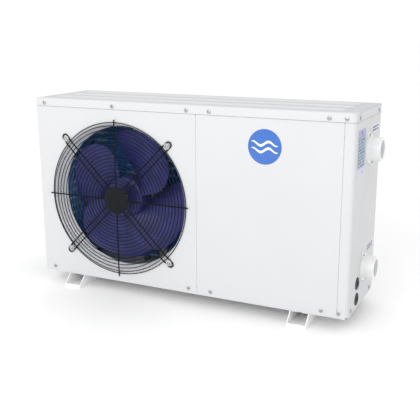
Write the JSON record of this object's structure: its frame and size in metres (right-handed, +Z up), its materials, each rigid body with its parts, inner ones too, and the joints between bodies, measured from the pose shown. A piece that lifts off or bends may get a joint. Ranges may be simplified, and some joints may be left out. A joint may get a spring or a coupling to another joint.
{
  "type": "pool heat pump unit",
  "caption": "Side-discharge pool heat pump: white sheet casing on rail feet, round wire fan grille, service panel, side water sockets and cable glands.",
  "frame": {"origin": "on the ground, midway between the four anchor slots of the feet", "axes": "+Z up, the fan grille and the front face -Y, the water sockets face +X"},
  "size_m": [1.0398, 0.324, 0.597],
  "materials": {
    "white_sheet": "satin powder coat",
    "galvanised": "galvanised sheet",
    "foot_sheet": "satin powder coat",
    "black_wire": "semi-gloss plastic coat",
    "screw_steel": "bright zinc",
    "clear_plastic": "clear moulded",
    "fan_plastic": "moulded, dark indigo",
    "steel": "machined",
    "motor_paint": "satin",
    "copper": "drawn copper",
    "fins": "blue hydrophilic coat",
    "black_paint": "semi-gloss",
    "rubber": "matte",
    "white_pvc": "moulded PVC",
    "grey_pvc": "moulded",
    "titanium": "drawn titanium",
    "green_board": "solder mask",
    "black_plastic": "moulded",
    "label_film": "printed film, plain",
    "label_white": "printed film, plain",
    "badge_film": "printed film"
  },
  "bodies": {
    "casing": {"base_pan": "white_sheet", "foot_left": "foot_sheet", "foot_right": "foot_sheet", "foot_bolts": "screw_steel", "top_cover": "white_sheet", "front_fan_panel": "white_sheet", "service_panel": "white_sheet", "right_side_panel": "white_sheet", "rear_panel": "white_sheet", "corner_post": "white_sheet", "partition_plate": "galvanised", "rear_coil_guard": "black_wire", "left_coil_guard": "black_wire", "grille_rings": "black_wire", "grille_spokes": "black_wire", "grille_hub_plate": "black_wire", "grille_washers": "clear_plastic", "grille_screws": "screw_steel", "fan_motor_housing": "motor_paint", "fan_motor_stator": "copper", "fan_motor_bearings": "steel", "fan_motor_bracket": "galvanised", "fan_motor_screws": "screw_steel", "evaporator_fins": "fins", "evaporator_end_plates": "galvanised", "evaporator_tubes": "copper", "compressor": "black_paint", "compressor_accumulator": "black_paint", "compressor_mounts": "rubber", "compressor_terminal_cover": "black_plastic", "four_way_valve": "copper", "discharge_pipe": "copper", "suction_pipe": "copper", "liquid_pipe": "copper", "filter_drier": "copper", "expansion_valve": "copper", "exchanger_shell": "grey_pvc", "exchanger_base": "grey_pvc", "exchanger_lid": "grey_pvc", "titanium_coil": "titanium", "water_outlet_socket": "white_pvc", "water_inlet_socket": "white_pvc", "socket_screws": "screw_steel", "flow_switch": "black_plastic", "drain_spout": "grey_pvc", "electrical_box": "galvanised", "electrical_cover": "galvanised", "control_board": "green_board", "contactor": "black_plastic", "run_capacitor": "steel", "terminal_block": "label_white", "cable_glands": "black_plastic", "rating_label": "label_film", "water_labels": "label_white", "front_badge": "badge_film", "casing_screws": "screw_steel"},
    "fan": {"fan_impeller": "fan_plastic", "fan_hub_nut": "steel", "fan_motor_shaft": "steel", "fan_motor_rotor": "steel"}
  },
  "joints": [
    {"name": "fan_spin", "type": "hinge", "parent": "casing", "child": "fan", "pos_m": [-0.2095, -0.069, 0.298], "axis": [0, -1, 0], "continuous": true}
  ]
}
